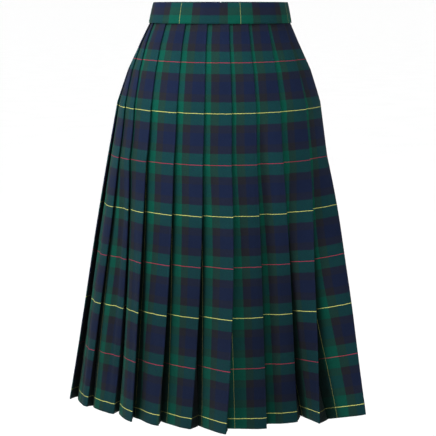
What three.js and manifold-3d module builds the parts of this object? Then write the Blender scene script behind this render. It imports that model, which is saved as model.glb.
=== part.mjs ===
// Pleated tartan skirt, filled out as it is worn: a folded waistband, a front and
// two back panels laid in 22 knife pleats, and a concealed zip at the centre back.
// Millimetres, +Z up, front towards -Y, origin at the middle of the waist opening's top.
import * as THREE from 'three';
import { mergeVertices } from 'three/addons/utils/BufferGeometryUtils.js';
import Module from 'manifold-3d';

// ---------- driving sizes ----------
const CLOTH = 1.1; // wall that stands for the cloth
const LAYER = 1.8; // from the middle of one folded layer to the middle of the next
const SEAM_GAP = 0.3; // between pieces at a seam
const REPEAT = 104; // cloth used up by one pleat, one repeat of the check across
const SKIRT_LENGTH = 700; // cloth from the waist seam to the hem
const HIP = 245; // cloth from the waist seam down to the hip
const OPEN_FROM = 130; // the pleats start to open here, below the waist seam
const OPENING_CURVE = 0.75; // below 1 they open sooner than evenly
const TUCK = 12; // pleat tops held up inside the waistband
const LEAST_TURN = 0.12; // radians between a panel and the return behind it at the hem
const DEEPEST = 0.93; // the deepest a fold goes, as a share of the cloth's whole reach
const LEAST_HIDDEN = 6; // of a panel behind the fold edge before it, where it opens wide
const STEP = 5; // step along the cloth when its fall is added up
const FALL_ANGLE = 5; // degrees between the places where it is added up

const BAND_HEIGHT = 36;
const BAND_CLOTH = 1.2; // one wall of the band
const BAND_TOP_WIDTH = 4.6; // its thickness above the pleat tops
const BAND_EDGE = 0.8; // rounding of its top edge
const BAND_FORK = 0.5; // room over the pleat tops, where the band parts in two walls
const BAND_STEP = 5; // degrees between its columns
const BACK_OPENING = 1.8; // between the band's ends at the centre back

const ZIP = {
  tapeWidth: 22, tape: 1, chainWidth: 3.6, chain: 1.2, // chain: its height over the tape
  behind: 0.75, // the flat tape's middle stands off the curved band by this much
  top: 14.6, bottom: 150, // below the band's top, and below the waist seam
  bodyWidth: 8, bodyTop: 5, bodyHeight: 7.6, bodyDepth: 3,
  neck: 1, neckTop: 6.5, neckHeight: 4, // neck: its thickness
  bowOut: 2.6, bowHole: 1.15, // how far the bow's eye stands off the band
  tab: 1.2, tabWidth: 5.2, tabLength: 25, slotWidth: 1.7, slot: 2.5, bar: 1.2,
};

// the body of the skirt, by distance along the cloth below the waist seam
const SECTIONS = [
  { at: -36, halfWidth: 116, front: 92, back: 88, side: 0 },
  { at: 0, halfWidth: 123.5, front: 98, back: 94, side: -0.6 },
  { at: 40, halfWidth: 141, front: 110, back: 108, side: -1.8 },
  { at: 90, halfWidth: 161.5, front: 124, back: 128, side: -1.5 },
  { at: 150, halfWidth: 180, front: 137, back: 146, side: -2 },
  { at: 245, halfWidth: 195.5, front: 148, back: 160, side: -4 },
  { at: 400, halfWidth: 220.5, front: 156, back: 172, side: -5.5 },
  { at: 550, halfWidth: 244, front: 165, back: 184, side: -7 },
  { at: 700, halfWidth: 267, front: 173, back: 196, side: -7.5 },
];

// one row for each outer fold, round from the wearer's right side by the front:
// its angle at waist, hip and hem (0 is the centre front), how far it stands out of
// the section at the hem, how deep the fold behind it goes there, and how far the
// fold line bows sideways between hip and hem
const PLEATS = [
  { waist: -104, hip: -85, hem: -92.5, out: 2, depth: 20, bow: 3 },
  { waist: -87, hip: -63.4, hem: -74.5, out: -27, depth: 12, bow: 8 },
  { waist: -72.5, hip: -52.6, hem: -52.6, out: -43, depth: 14, bow: 10 },
  { waist: -50.2, hip: -39.6, hem: -36.6, out: -18, depth: 15, bow: 3 },
  { waist: -29.4, hip: -23.3, hem: -23.8, out: -23, depth: 30, bow: 4 },
  { waist: -10.7, hip: -8.1, hem: -10, out: -14, depth: 27, bow: 5 },
  { waist: 6.6, hip: 6.4, hem: 3.2, out: 24, depth: 26, bow: 6 },
  { waist: 22.4, hip: 19.7, hem: 19.6, out: -12, depth: 28, bow: 2 },
  { waist: 40.6, hip: 34.4, hem: 35.6, out: -28, depth: 24, bow: 3 },
  { waist: 63.5, hip: 54.5, hem: 40.2, out: 18, depth: 29, bow: -5 },
  { waist: 82, hip: 78, hem: 54.5, out: 60, depth: 34, bow: -14 },
  { waist: 97, hip: 97.5, hem: 74.5, out: -2, depth: 25, bow: -2 },
  { waist: 113.8, hip: 114.5, hem: 92, out: -8, depth: 26, bow: -4 },
  { waist: 129.5, hip: 131, hem: 112, out: 5, depth: 22, bow: 3 },
  { waist: 144, hip: 147, hem: 131, out: -12, depth: 25, bow: 4 },
  { waist: 157.7, hip: 162.5, hem: 149, out: 4, depth: 20, bow: -3 },
  { waist: 170.9, hip: 177.5, hem: 165.5, out: -13, depth: 24, bow: 4 },
  { waist: 183.9, hip: 192.5, hem: 181, out: 8, depth: 26, bow: 5 },
  { waist: 197, hip: 207.5, hem: 197.2, out: -6, depth: 22, bow: -2 },
  { waist: 210.5, hip: 223, hem: 213.6, out: 9, depth: 24, bow: 3 },
  { waist: 224.9, hip: 239.5, hem: 230.6, out: -11, depth: 25, bow: 4 },
  { waist: 240.3, hip: 256.5, hem: 249, out: 3, depth: 23, bow: -3 },
];
const COUNT = PLEATS.length;
const ROWS = [-TUCK, 0, 30, 70, 120, 180, 250, 330, 420, 520, 610, SKIRT_LENGTH];

// the panels are cut and joined under a pleat, half way along its hidden part
const PANELS = [
  { name: 'skirt_front', from: 1, to: 12, colour: 0x1f3d3c },
  { name: 'skirt_back_left', from: 12, to: 18, colour: 0x1d3a3f },
  { name: 'skirt_back_right', from: 18, to: 23, colour: 0x213a42 },
];

// ---------- small helpers ----------
const radians = THREE.MathUtils.degToRad;
const mix = (a, b, share) => a + (b - a) * share;
const clamp = (value, low, high) => Math.min(high, Math.max(low, value));
const point = (x, y) => new THREE.Vector2(x, y);
const leftOf = (direction) => point(-direction.y, direction.x);
const rightOf = (direction) => point(direction.y, -direction.x);
const between = (a, b, share) => a.clone().lerp(b, share);
const along = (from, direction, distance) => from.clone().addScaledVector(direction, distance);

// the section at one distance along the cloth
function sectionAt(at) {
  const last = SECTIONS.length - 1;
  let i = 1;
  while (i < last && SECTIONS[i].at < at) i += 1;
  const [a, b] = [SECTIONS[i - 1], SECTIONS[i]];
  const share = (at - a.at) / (b.at - a.at);
  const size = {};
  for (const key of ['halfWidth', 'front', 'back', 'side']) size[key] = mix(a[key], b[key], share);
  return size;
}

// a point of the section at an angle, moved out by a distance; y runs to the back
function onSection(size, angle, out) {
  const [sine, cosine] = [Math.sin(radians(angle)), Math.cos(radians(angle))];
  const depth = cosine > 0 ? size.front : size.back;
  const normal = point(depth * sine, -size.halfWidth * cosine).normalize();
  const place = point(size.side + size.halfWidth * sine, -depth * cosine);
  return along(place, normal, out);
}

// distance round the section between two angles
function arc(size, from, to) {
  const PARTS = 4;
  let length = 0;
  for (let i = 0; i < PARTS; i += 1) {
    const a = onSection(size, mix(from, to, i / PARTS), 0);
    length += a.distanceTo(onSection(size, mix(from, to, (i + 1) / PARTS), 0));
  }
  return length;
}

// ---------- outer folds ----------
// the angle of outer fold k and how far it stands out, at one distance along the cloth
function outerFold(k, at) {
  const turns = Math.floor(k / COUNT);
  const pleat = PLEATS[k - turns * COUNT];
  const size = sectionAt(at);
  let angle;
  let out = 0;
  if (at <= HIP) {
    const share = 1 - (1 - clamp(at / HIP, 0, 1)) ** 2;
    angle = mix(pleat.waist, pleat.hip, share);
  } else {
    const share = (at - HIP) / (SKIRT_LENGTH - HIP);
    const bow = (pleat.bow * 4 * share * (1 - share)) / size.halfWidth;
    angle = mix(pleat.hip, pleat.hem, share) + THREE.MathUtils.radToDeg(bow);
    out = pleat.out * share;
  }
  return { angle: angle + 360 * turns, out };
}

// ---------- one level of the skirt ----------
// The inner fold between two outer folds lies on the ellipse round them, because the
// return and the next panel use up one repeat of cloth between them. It goes at least
// so deep that the return clears the panel that arrives before it.
function innerFold(before, edge, depth, arriving, leastTurn) {
  const chord = before.distanceTo(edge);
  const forward = edge.clone().sub(before).normalize();
  const inwards = rightOf(forward);
  const half = Math.sqrt(REPEAT * REPEAT - chord * chord) / 2;
  let place;
  for (let deep = Math.min(depth, half * DEEPEST); ; deep += 1) {
    const back = (REPEAT / 2) * Math.sqrt(1 - (deep / half) ** 2) - chord / 2;
    place = { back, deep, chord, forward, flat: along(along(before, forward, -back), inwards, deep) };
    const leaving = place.flat.clone().sub(before);
    const turn = Math.atan2(leaving.cross(arriving), -leaving.dot(arriving));
    if (turn >= leastTurn || deep + 1 > half * DEEPEST) return place;
  }
}

// Places are worked out on the section rolled flat: x is the distance round it, y the
// height over it. Rolled up again, the folds lie round the body, each layer on the next.
function levelAt(at) {
  const size = sectionAt(at);
  const open = clamp((at - OPEN_FROM) / (SKIRT_LENGTH - OPEN_FROM), 0, 1) ** OPENING_CURVE;
  const edges = [];
  for (let k = -4; k <= COUNT + 3; k += 1) {
    const { angle, out } = outerFold(k, at);
    const last = edges.at(-1);
    edges.push({ k, angle, flat: point(last ? last.flat.x + arc(size, last.angle, angle) : 0, out) });
  }
  // rolls a flat place up and moves it in under some layers
  const rollUp = (flat, layers) => {
    let i = 1;
    while (i < edges.length - 1 && edges[i].flat.x < flat.x) i += 1;
    const [a, b] = [edges[i - 1], edges[i]];
    const angle = mix(a.angle, b.angle, (flat.x - a.flat.x) / (b.flat.x - a.flat.x));
    return onSection(size, angle, flat.y - layers * LAYER);
  };

  const pleats = new Map();
  let arriving = point(1, 0);
  for (let i = 2; i < edges.length; i += 1) {
    const [first, before, edge] = [edges[i - 2], edges[i - 1], edges[i]];
    const depth = PLEATS[(edge.k + COUNT) % COUNT].depth * open;
    const fold = innerFold(before.flat, edge.flat, depth, arriving, LEAST_TURN * open);
    arriving = edge.flat.clone().sub(fold.flat).normalize();
    // how many layers lie over a place at a distance behind the edge before
    const pitch = before.flat.distanceTo(first.flat);
    const layersAt = (distance) => (2 * Math.max(distance, 0)) / pitch;
    const hidden = Math.max(fold.back, LEAST_HIDDEN);
    const under = hidden / (fold.chord + hidden);
    pleats.set(edge.k, {
      under,
      back: fold.back,
      pitch: fold.chord,
      inner: rollUp(fold.flat, 1.5 + layersAt(fold.back)),
      outer: rollUp(edge.flat, 0.5),
      // on the return, from the edge before (0) to the inner fold (1)
      onReturn: (share) => rollUp(between(before.flat, fold.flat, share), 1 + layersAt(fold.back * share)),
      // on the panel, from the inner fold (0) to its own edge (1)
      onPanel: (share) => {
        const layers = share < under
          ? 2 + layersAt(fold.back * (1 - share / under))
          : (2 * (1 - share)) / (1 - under);
        return rollUp(between(fold.flat, edge.flat, share), layers);
      },
    });
  }
  // where each panel passes over the middle and the end of the return behind it
  for (const [k, pleat] of pleats) {
    const next = pleats.get(k + 1);
    const covered = next ? clamp(next.back / pleat.pitch, 0.2, 1.8) : 1;
    const behind = [Math.min(covered, 0.96), covered / 2];
    pleat.overReturn = behind.map((share) => mix(1, pleat.under, share));
  }
  return pleats;
}

// ---------- heights ----------
// The cloth keeps its length, so what it spends going outwards it loses in height.
const fall = (a, b) => Math.sqrt(Math.max(STEP * STEP - a.distanceToSquared(b), 0));

// above the hip all layers lie together, so their height depends on their place alone:
// how far the cloth has fallen at each step down, by angle round the section
const FALLS = [];
for (let angle = 0; angle <= 360; angle += FALL_ANGLE) {
  const falls = [0];
  for (let at = STEP; at <= HIP; at += STEP) {
    const [upper, lower] = [at - STEP, at].map((level) => onSection(sectionAt(level), angle, 0));
    falls.push(falls.at(-1) + fall(upper, lower));
  }
  FALLS.push(falls);
}
function fallAbove(at, place) {
  if (at < 0) return at;
  const size = sectionAt(at);
  const depth = place.y < 0 ? size.front : size.back;
  const angle = Math.atan2((place.x - size.side) / size.halfWidth, -place.y / depth);
  const turns = (THREE.MathUtils.radToDeg(angle) + 360) % 360 / FALL_ANGLE;
  const i = Math.floor(turns);
  return mix(FALLS[i][at / STEP], FALLS[i + 1][at / STEP], turns - i);
}

// below the hip each fold line falls on its own way
function fallTables() {
  const tables = { outer: [], inner: [] };
  let before = levelAt(HIP);
  for (const kind of ['outer', 'inner']) {
    for (let k = 0; k <= COUNT + 1; k += 1) tables[kind][k] = [fallAbove(HIP, before.get(k)[kind])];
  }
  for (let at = HIP + STEP; at <= SKIRT_LENGTH; at += STEP) {
    const level = levelAt(at);
    for (const kind of ['outer', 'inner']) {
      tables[kind].forEach((falls, k) => {
        falls.push(falls.at(-1) + fall(before.get(k)[kind], level.get(k)[kind]));
      });
    }
    before = level;
  }
  return tables;
}
const FOLD_FALLS = fallTables();
const fallBelow = (kind, k, at) => FOLD_FALLS[kind][k][(at - HIP) / STEP];

// ---------- walls ----------
// A wall is a list of rows from the top down. Each row has its columns, in the order
// of growing angle, as pairs of points on the cloth's right side and its wrong side.
function pleatedRow(at, from, to) {
  const level = levelAt(at);
  const columns = [];
  // how far a column has fallen below the hip is given; above it its place says it
  const face = (place, heading, fallen, outwards, inwards) => {
    const normal = rightOf(heading);
    const [a, b] = [along(place, normal, outwards), along(place, normal, -inwards)];
    const z = -BAND_HEIGHT - (at > HIP ? fallen : fallAbove(at, place));
    columns.push([new THREE.Vector3(a.x, a.y, z), new THREE.Vector3(b.x, b.y, z)]);
  };
  const heading = (a, b) => b.clone().sub(a).normalize();
  const [thick, radius] = [CLOTH / 2, LAYER / 2];
  const edgeColumn = (place, way, fallen) => face(place, way, fallen, radius + thick, thick - radius);
  const innerColumn = (place, way, fallen) => face(place, way, fallen, thick - radius, radius + thick);
  const foldFall = (kind, k) => (at > HIP ? fallBelow(kind, k, at) : 0);

  for (let k = from; k <= to; k += 1) {
    const pleat = level.get(k);
    const [inner, outer] = [foldFall('inner', k), foldFall('outer', k)];
    const panelFall = (share) => mix(inner, outer, share);
    const hidden = heading(pleat.onPanel(0), pleat.onPanel(pleat.under));
    if (k > from) {
      // the return behind the pleat before, then the inner fold
      const before = level.get(k - 1);
      const edge = foldFall('outer', k - 1);
      const arriving = heading(before.onPanel(0.8), before.onPanel(1));
      const back = heading(pleat.onReturn(0), pleat.onReturn(1));
      const roundEdge = leftOf(arriving.clone().sub(back).normalize());
      const roundInner = rightOf(back.clone().sub(hidden).normalize());
      edgeColumn(before.outer, arriving, edge);
      edgeColumn(before.outer, roundEdge, edge);
      edgeColumn(before.outer, back, edge);
      face(pleat.onReturn(0.5), back, mix(edge, inner, 0.5), thick, thick);
      innerColumn(pleat.inner, back, inner);
      innerColumn(pleat.inner, roundInner, inner);
      innerColumn(pleat.inner, hidden, inner);
    }
    // this panel, as far as its seam where the piece ends or begins on it
    const middle = pleat.under / 2;
    if (k === from || k === to) {
      const side = k === from ? SEAM_GAP / 2 : -SEAM_GAP / 2;
      face(along(pleat.onPanel(middle), hidden, side), hidden, panelFall(middle), thick, thick);
    } else {
      face(pleat.onPanel(middle), hidden, panelFall(middle), thick, thick);
    }
    if (k === to) break;
    for (const share of [pleat.under, ...pleat.overReturn]) {
      const way = heading(pleat.onPanel(share - 0.02), pleat.onPanel(share + 0.02));
      face(pleat.onPanel(share), way, panelFall(share), thick, thick);
    }
  }
  return columns;
}

// a closed body between the two faces of a wall; every layer's faces are split along
// the same slant round the skirt, so that no layer cuts into the next
function wallGeometry(rows) {
  const columns = rows[0].length;
  const positions = [];
  const indices = [];
  for (const row of rows) for (const pair of row) pair.forEach((p) => positions.push(p.x, p.y, p.z));
  const outer = (row, column) => 2 * (row * columns + column);
  const inner = (row, column) => outer(row, column) + 1;
  const quad = (a, b, c, d) => indices.push(a, b, c, a, c, d);
  const [lastRow, lastColumn] = [rows.length - 1, columns - 1];
  for (let c = 0; c < lastColumn; c += 1) {
    for (let r = 0; r < lastRow; r += 1) {
      const [[here], [next]] = [rows[r][c], rows[r][c + 1]];
      if (here.x * next.y - here.y * next.x > 0) {
        quad(outer(r, c), outer(r + 1, c), outer(r + 1, c + 1), outer(r, c + 1));
        quad(inner(r, c), inner(r, c + 1), inner(r + 1, c + 1), inner(r + 1, c));
      } else {
        quad(outer(r, c + 1), outer(r, c), outer(r + 1, c), outer(r + 1, c + 1));
        quad(inner(r, c + 1), inner(r + 1, c + 1), inner(r + 1, c), inner(r, c));
      }
    }
    quad(outer(0, c), outer(0, c + 1), inner(0, c + 1), inner(0, c));
    quad(outer(lastRow, c), inner(lastRow, c), inner(lastRow, c + 1), outer(lastRow, c + 1));
  }
  for (let r = 0; r < lastRow; r += 1) {
    quad(outer(r, 0), inner(r, 0), inner(r + 1, 0), outer(r + 1, 0));
    quad(outer(r, lastColumn), outer(r + 1, lastColumn), inner(r + 1, lastColumn), inner(r, lastColumn));
  }
  return indexed(positions, indices);
}

function indexed(positions, indices) {
  const geometry = new THREE.BufferGeometry();
  geometry.setAttribute('position', new THREE.Float32BufferAttribute(positions, 3));
  geometry.setIndex(indices);
  return geometry;
}

// a closed body with one outline all along a path: rings of points, each of which turns
// anticlockwise as seen by someone who looks along the path, as the outline does
function sweptGeometry(rings, outline) {
  const around = outline.length;
  const positions = rings.flat().flatMap((p) => [p.x, p.y, p.z]);
  const indices = [];
  const at = (ring, i) => ring * around + (i % around);
  for (let ring = 0; ring < rings.length - 1; ring += 1) {
    for (let i = 0; i < around; i += 1) {
      indices.push(at(ring, i), at(ring + 1, i), at(ring + 1, i + 1));
      indices.push(at(ring, i), at(ring + 1, i + 1), at(ring, i + 1));
    }
  }
  const last = (rings.length - 1) * around;
  for (const [a, b, c] of THREE.ShapeUtils.triangulateShape(outline, [])) {
    indices.push(a, b, c);
    indices.push(last + a, last + c, last + b);
  }
  return indexed(positions, indices);
}

// ---------- waistband ----------
// how far in the folded pleats reach at the waist seam
function stackDepth() {
  let deepest = 0;
  const size = sectionAt(0);
  for (let k = 0; k < COUNT; k += 1) {
    const [a, b, c] = [outerFold(k - 2, 0), outerFold(k - 1, 0), outerFold(k, 0)];
    const back = (REPEAT - arc(size, b.angle, c.angle)) / 2;
    deepest = Math.max(deepest, back / arc(size, a.angle, b.angle));
  }
  return 2 * LAYER * (1 + deepest) + CLOTH / 2;
}
const STACK = stackDepth();
const BAND_INSIDE = CLOTH / 2 + SEAM_GAP;
const BAND_OUTSIDE = BAND_INSIDE + BAND_CLOTH;
const BAND_BACK = -STACK - SEAM_GAP - BAND_CLOTH; // the wrong side of its inner wall

// a folded band: solid above the pleat tops, and below them a wall on each side
function waistband() {
  const fork = TUCK + BAND_FORK - BAND_HEIGHT;
  const topInside = BAND_OUTSIDE - BAND_TOP_WIDTH;
  const outline = [
    point(BAND_OUTSIDE, -BAND_HEIGHT),
    point(BAND_OUTSIDE, -BAND_EDGE),
    point(BAND_OUTSIDE - BAND_EDGE, 0),
    point(topInside + BAND_EDGE, 0),
    point(topInside, -BAND_EDGE),
    point(topInside, fork + BAND_TOP_WIDTH),
    point(BAND_BACK, fork + BAND_CLOTH),
    point(BAND_BACK, -BAND_HEIGHT),
    point(BAND_BACK + BAND_CLOTH, -BAND_HEIGHT),
    point(BAND_BACK + BAND_CLOTH, fork),
    point(BAND_INSIDE, fork),
    point(BAND_INSIDE, -BAND_HEIGHT),
  ];
  const half = THREE.MathUtils.radToDeg(BACK_OPENING / 2 / sectionAt(0).halfWidth);
  const steps = Math.round(360 / BAND_STEP);
  const rings = [];
  for (let i = 0; i <= steps; i += 1) {
    const angle = mix(half - 180, 180 - half, i / steps);
    rings.push(outline.map((p) => {
      const place = onSection(sectionAt(-p.y - BAND_HEIGHT), angle, p.x);
      return new THREE.Vector3(place.x, place.y, p.y);
    }));
  }
  return sweptGeometry(rings, outline);
}

// ---------- zip ----------
// the zip's own frame: its origin on the band's right side at the centre back, at the
// band's top, +Y away from the cloth and +Z up along it
const topSection = sectionAt(-BAND_HEIGHT);
const BAND_SLOPE = Math.atan2(sectionAt(0).back - topSection.back, BAND_HEIGHT);
const ZIP_ORIGIN = new THREE.Vector3(0, topSection.back + BAND_OUTSIDE, 0);

// the tape with the closed chain on its wrong side, down the inside of the centre back
function zipTape() {
  const { tapeWidth, tape, chainWidth, chain, behind, top, bottom } = ZIP;
  const outline = [
    point(tapeWidth / 2, 0), point(-tapeWidth / 2, 0), point(-tapeWidth / 2, -tape),
    point(-chainWidth / 2, -tape), point(-chainWidth / 2, -tape - chain),
    point(chainWidth / 2, -tape - chain), point(chainWidth / 2, -tape), point(tapeWidth / 2, -tape),
  ];
  const bendTop = BAND_TOP_WIDTH - BAND_OUTSIDE + behind;
  const bendBottom = -BAND_BACK + behind;
  const fork = BAND_HEIGHT - TUCK - BAND_FORK;
  const path = [
    { at: top - BAND_HEIGHT, inside: bendTop },
    { at: fork - BAND_TOP_WIDTH - tape - BAND_HEIGHT, inside: bendTop },
    { at: fork - BAND_CLOTH - BAND_HEIGHT, inside: bendBottom },
    { at: 0, inside: bendBottom },
    { at: 40, inside: bendBottom },
    { at: 90, inside: bendBottom },
    { at: bottom, inside: bendBottom + 1 },
  ];
  const rings = path.map(({ at, inside }) => {
    const y = sectionAt(at).back - inside;
    const z = -BAND_HEIGHT - fallAbove(at, point(0, y));
    return outline.map((p) => new THREE.Vector3(p.x, y + p.y, z));
  });
  return sweptGeometry(rings, outline);
}

const wasm = await Module();
wasm.setup();
const solid = (geometry) => {
  const bare = geometry.clone();
  bare.deleteAttribute('normal');
  bare.deleteAttribute('uv');
  const merged = mergeVertices(bare);
  return new wasm.Manifold(new wasm.Mesh({
    numProp: 3,
    vertProperties: Float32Array.from(merged.attributes.position.array),
    triVerts: Uint32Array.from(merged.index.array),
  }));
};
const geometryOf = (manifold) => {
  const { vertProperties, triVerts } = manifold.getMesh();
  return indexed(Array.from(vertProperties), Array.from(triVerts));
};
// an outline in the plane of depth and height, given a thickness from side to side
const sideways = (shape, thickness) => {
  const geometry = new THREE.ExtrudeGeometry(shape, {
    depth: thickness, bevelEnabled: false, curveSegments: 8,
  });
  geometry.translate(0, 0, -thickness / 2);
  return geometry.applyMatrix4(new THREE.Matrix4().makeBasis(
    new THREE.Vector3(0, 1, 0), new THREE.Vector3(0, 0, 1), new THREE.Vector3(1, 0, 0),
  ));
};
const BOW_HEIGHT = -ZIP.neckTop - ZIP.neckHeight / 2; // of the eye that carries the tab

function zipSlider() {
  const inside = -BAND_TOP_WIDTH - SEAM_GAP;
  const body = new THREE.BoxGeometry(ZIP.bodyWidth, ZIP.bodyDepth, ZIP.bodyHeight);
  body.translate(0, inside - ZIP.bodyDepth / 2, -ZIP.bodyTop - ZIP.bodyHeight / 2);
  const bow = new THREE.Shape();
  const radius = ZIP.neckHeight / 2;
  bow.moveTo(inside - 1, BOW_HEIGHT - radius);
  bow.lineTo(ZIP.bowOut, BOW_HEIGHT - radius);
  bow.absarc(ZIP.bowOut, BOW_HEIGHT, radius, -Math.PI / 2, Math.PI / 2);
  bow.lineTo(inside - 1, BOW_HEIGHT + radius);
  const eye = new THREE.Path();
  eye.absarc(ZIP.bowOut, BOW_HEIGHT, ZIP.bowHole, 0, 2 * Math.PI, true);
  bow.holes.push(eye);
  return geometryOf(solid(body).add(solid(sideways(bow, ZIP.neck))));
}

// a flat tab whose top bar runs through the slider's eye; it hangs from the bar's middle
function zipPullTab() {
  const { tab, tabWidth, tabLength, slotWidth, slot, bar } = ZIP;
  const [half, corner] = [tabWidth / 2, tabWidth / 2];
  const shape = new THREE.Shape();
  shape.moveTo(half, bar / 2);
  shape.lineTo(-half, bar / 2);
  shape.lineTo(-half, corner - tabLength);
  shape.absarc(0, corner - tabLength, half, Math.PI, 2 * Math.PI);
  const hole = new THREE.Path();
  hole.moveTo(-slotWidth / 2, -bar / 2);
  hole.lineTo(slotWidth / 2, -bar / 2);
  hole.lineTo(slotWidth / 2, -bar / 2 - slot);
  hole.lineTo(-slotWidth / 2, -bar / 2 - slot);
  shape.holes.push(hole);
  const geometry = new THREE.ExtrudeGeometry(shape, {
    depth: tab, bevelEnabled: false, curveSegments: 8,
  });
  geometry.translate(0, 0, -tab / 2);
  return geometry.rotateX(Math.PI / 2);
}

// ---------- the skirt ----------
const skirt = new THREE.Group();
const addPiece = (parent, name, geometry, colour, roughness, metalness) => {
  const material = new THREE.MeshStandardMaterial({ color: colour, roughness, metalness });
  const mesh = new THREE.Mesh(geometry, material);
  mesh.name = name;
  parent.add(mesh);
  return mesh;
};
addPiece(skirt, 'waistband', waistband(), 0x24403f, 0.9, 0);
for (const { name, from, to, colour } of PANELS) {
  const rows = ROWS.map((at) => pleatedRow(at, from, to));
  addPiece(skirt, name, wallGeometry(rows), colour, 0.9, 0);
}
addPiece(skirt, 'zip_tape', zipTape(), 0x1b1f2c, 0.85, 0);
const zipFrame = new THREE.Group();
zipFrame.position.copy(ZIP_ORIGIN);
zipFrame.rotation.x = BAND_SLOPE;
addPiece(zipFrame, 'zip_slider', zipSlider(), 0x2a2d36, 0.45, 0.6);
const pullTab = addPiece(zipFrame, 'zip_pull_tab', zipPullTab(), 0x2a2d36, 0.45, 0.6);
pullTab.position.set(0, ZIP.bowOut, BOW_HEIGHT);
skirt.add(zipFrame);

export default skirt;
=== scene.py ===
"""Pleated tartan skirt, filled out as it is worn: cloth, waistband and back zip.

The cloth is laid in knife pleats from short tables of sections and folds. Tables and
working lengths are in millimetres, and every mesh is made in metres in the model's own
frame: +Z up, front towards -Y, wearer's left towards +X, origin in the middle of the
waist opening's top edge. Places in plan are complex numbers: real part towards +X,
imaginary part towards the back.
"""
import logging
import math
from bisect import bisect_left
from dataclasses import dataclass, field, replace
from enum import Enum
from functools import lru_cache, partial, reduce

import bmesh
import bpy
import numpy as np
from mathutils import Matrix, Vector


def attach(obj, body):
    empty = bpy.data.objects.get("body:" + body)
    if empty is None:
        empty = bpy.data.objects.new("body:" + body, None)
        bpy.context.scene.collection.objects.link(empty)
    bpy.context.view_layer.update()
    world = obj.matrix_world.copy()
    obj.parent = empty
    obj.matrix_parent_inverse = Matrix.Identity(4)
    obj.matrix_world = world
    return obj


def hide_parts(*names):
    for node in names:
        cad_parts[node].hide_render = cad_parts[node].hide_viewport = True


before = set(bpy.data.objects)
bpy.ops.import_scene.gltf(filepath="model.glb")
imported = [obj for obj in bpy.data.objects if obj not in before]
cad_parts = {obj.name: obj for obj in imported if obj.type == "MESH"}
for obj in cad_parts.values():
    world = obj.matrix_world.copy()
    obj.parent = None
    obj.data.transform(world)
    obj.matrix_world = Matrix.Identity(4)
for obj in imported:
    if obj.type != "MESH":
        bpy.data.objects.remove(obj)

log = logging.getLogger("skirt")
MM = 0.001
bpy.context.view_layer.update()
# on the wear and shade map, a distance from the fold edge at which the cloth isn't worn
UNWORN = 50.0


class Side(Enum):
    """The two faces of a cloth."""

    RIGHT = 0
    WRONG = 1


class Held(Enum):
    HUNG = "hung"
    FOLDED = "folded"


# ---------------------------------------------------------------- small helpers
def mix(a: float, b: float, share: float) -> float:
    """Return the value at a share of the way from a to b."""
    return a + (b - a) * share


def clamp(value: float, low: float, high: float) -> float:
    """Return the value kept between two limits."""
    return min(high, max(low, value))


def unit(direction: complex) -> complex:
    """Return a direction in plan with length one."""
    return direction / abs(direction)


def heading(a: complex, b: complex) -> complex:
    """Return the direction in plan from one place to another."""
    return unit(b - a)


def smooth(share: float) -> float:
    """Return a share eased at both ends."""
    share = clamp(share, 0.0, 1.0)
    return share * share * (3 - 2 * share)


def linear(red: int, green: int, blue: int) -> tuple[float, float, float, float]:
    """Turn an 8-bit screen colour into the shader's linear colour.

    Args:
        red: red channel, 0 to 255.
        green: green channel, 0 to 255.
        blue: blue channel, 0 to 255.

    Returns:
        The linear colour with full alpha.
    """
    channels = []
    for channel in (red, green, blue):
        c = channel / 255
        channels.append(c / 12.92 if c <= 0.04045 else ((c + 0.055) / 1.055) ** 2.4)
    return (*channels, 1.0)


def tube(start: int, rings: int, around: int) -> list[tuple[int, ...]]:
    """Join rings of points into a closed tube with flat ends.

    Args:
        start: number of the first point.
        rings: how many rings there are.
        around: how many points are in each ring.

    Returns:
        The faces, as numbers of points.
    """
    last = start + (rings - 1) * around
    faces = []
    for ring in range(start, last, around):
        for j in range(around):
            a, b = ring + j, ring + (j + 1) % around
            faces.append((a, a + around, b + around, b))
    ends = range(start, start + around), reversed(range(last, last + around))
    return faces + [tuple(end) for end in ends]


def wall(height: int, width: int) -> list[tuple[int, ...]]:
    """Join rows of points into a closed thin wall.

    Args:
        height: how many rows there are.
        width: how many columns, each with a point on its right and its wrong side.

    Returns:
        The faces, as numbers of points.
    """
    faces = []

    def quad(*corners: tuple[int, int, Side]) -> None:
        """Add a face by the row, column and side of its points."""
        faces.append(tuple(2 * (r * width + c) + side.value for r, c, side in corners))

    right, wrong = Side.RIGHT, Side.WRONG
    low, last = height - 1, width - 1
    for c in range(last):
        d = c + 1
        for r in range(low):
            quad((r, c, right), (r + 1, c, right), (r + 1, d, right), (r, d, right))
            quad((r, c, wrong), (r, d, wrong), (r + 1, d, wrong), (r + 1, c, wrong))
        quad((0, c, right), (0, d, right), (0, d, wrong), (0, c, wrong))
        quad((low, c, right), (low, c, wrong), (low, d, wrong), (low, d, right))
    for r in range(low):
        quad((r, 0, right), (r, 0, wrong), (r + 1, 0, wrong), (r + 1, 0, right))
        quad((r, last, right), (r + 1, last, right), (r + 1, last, wrong), (r, last, wrong))
    return faces


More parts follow.
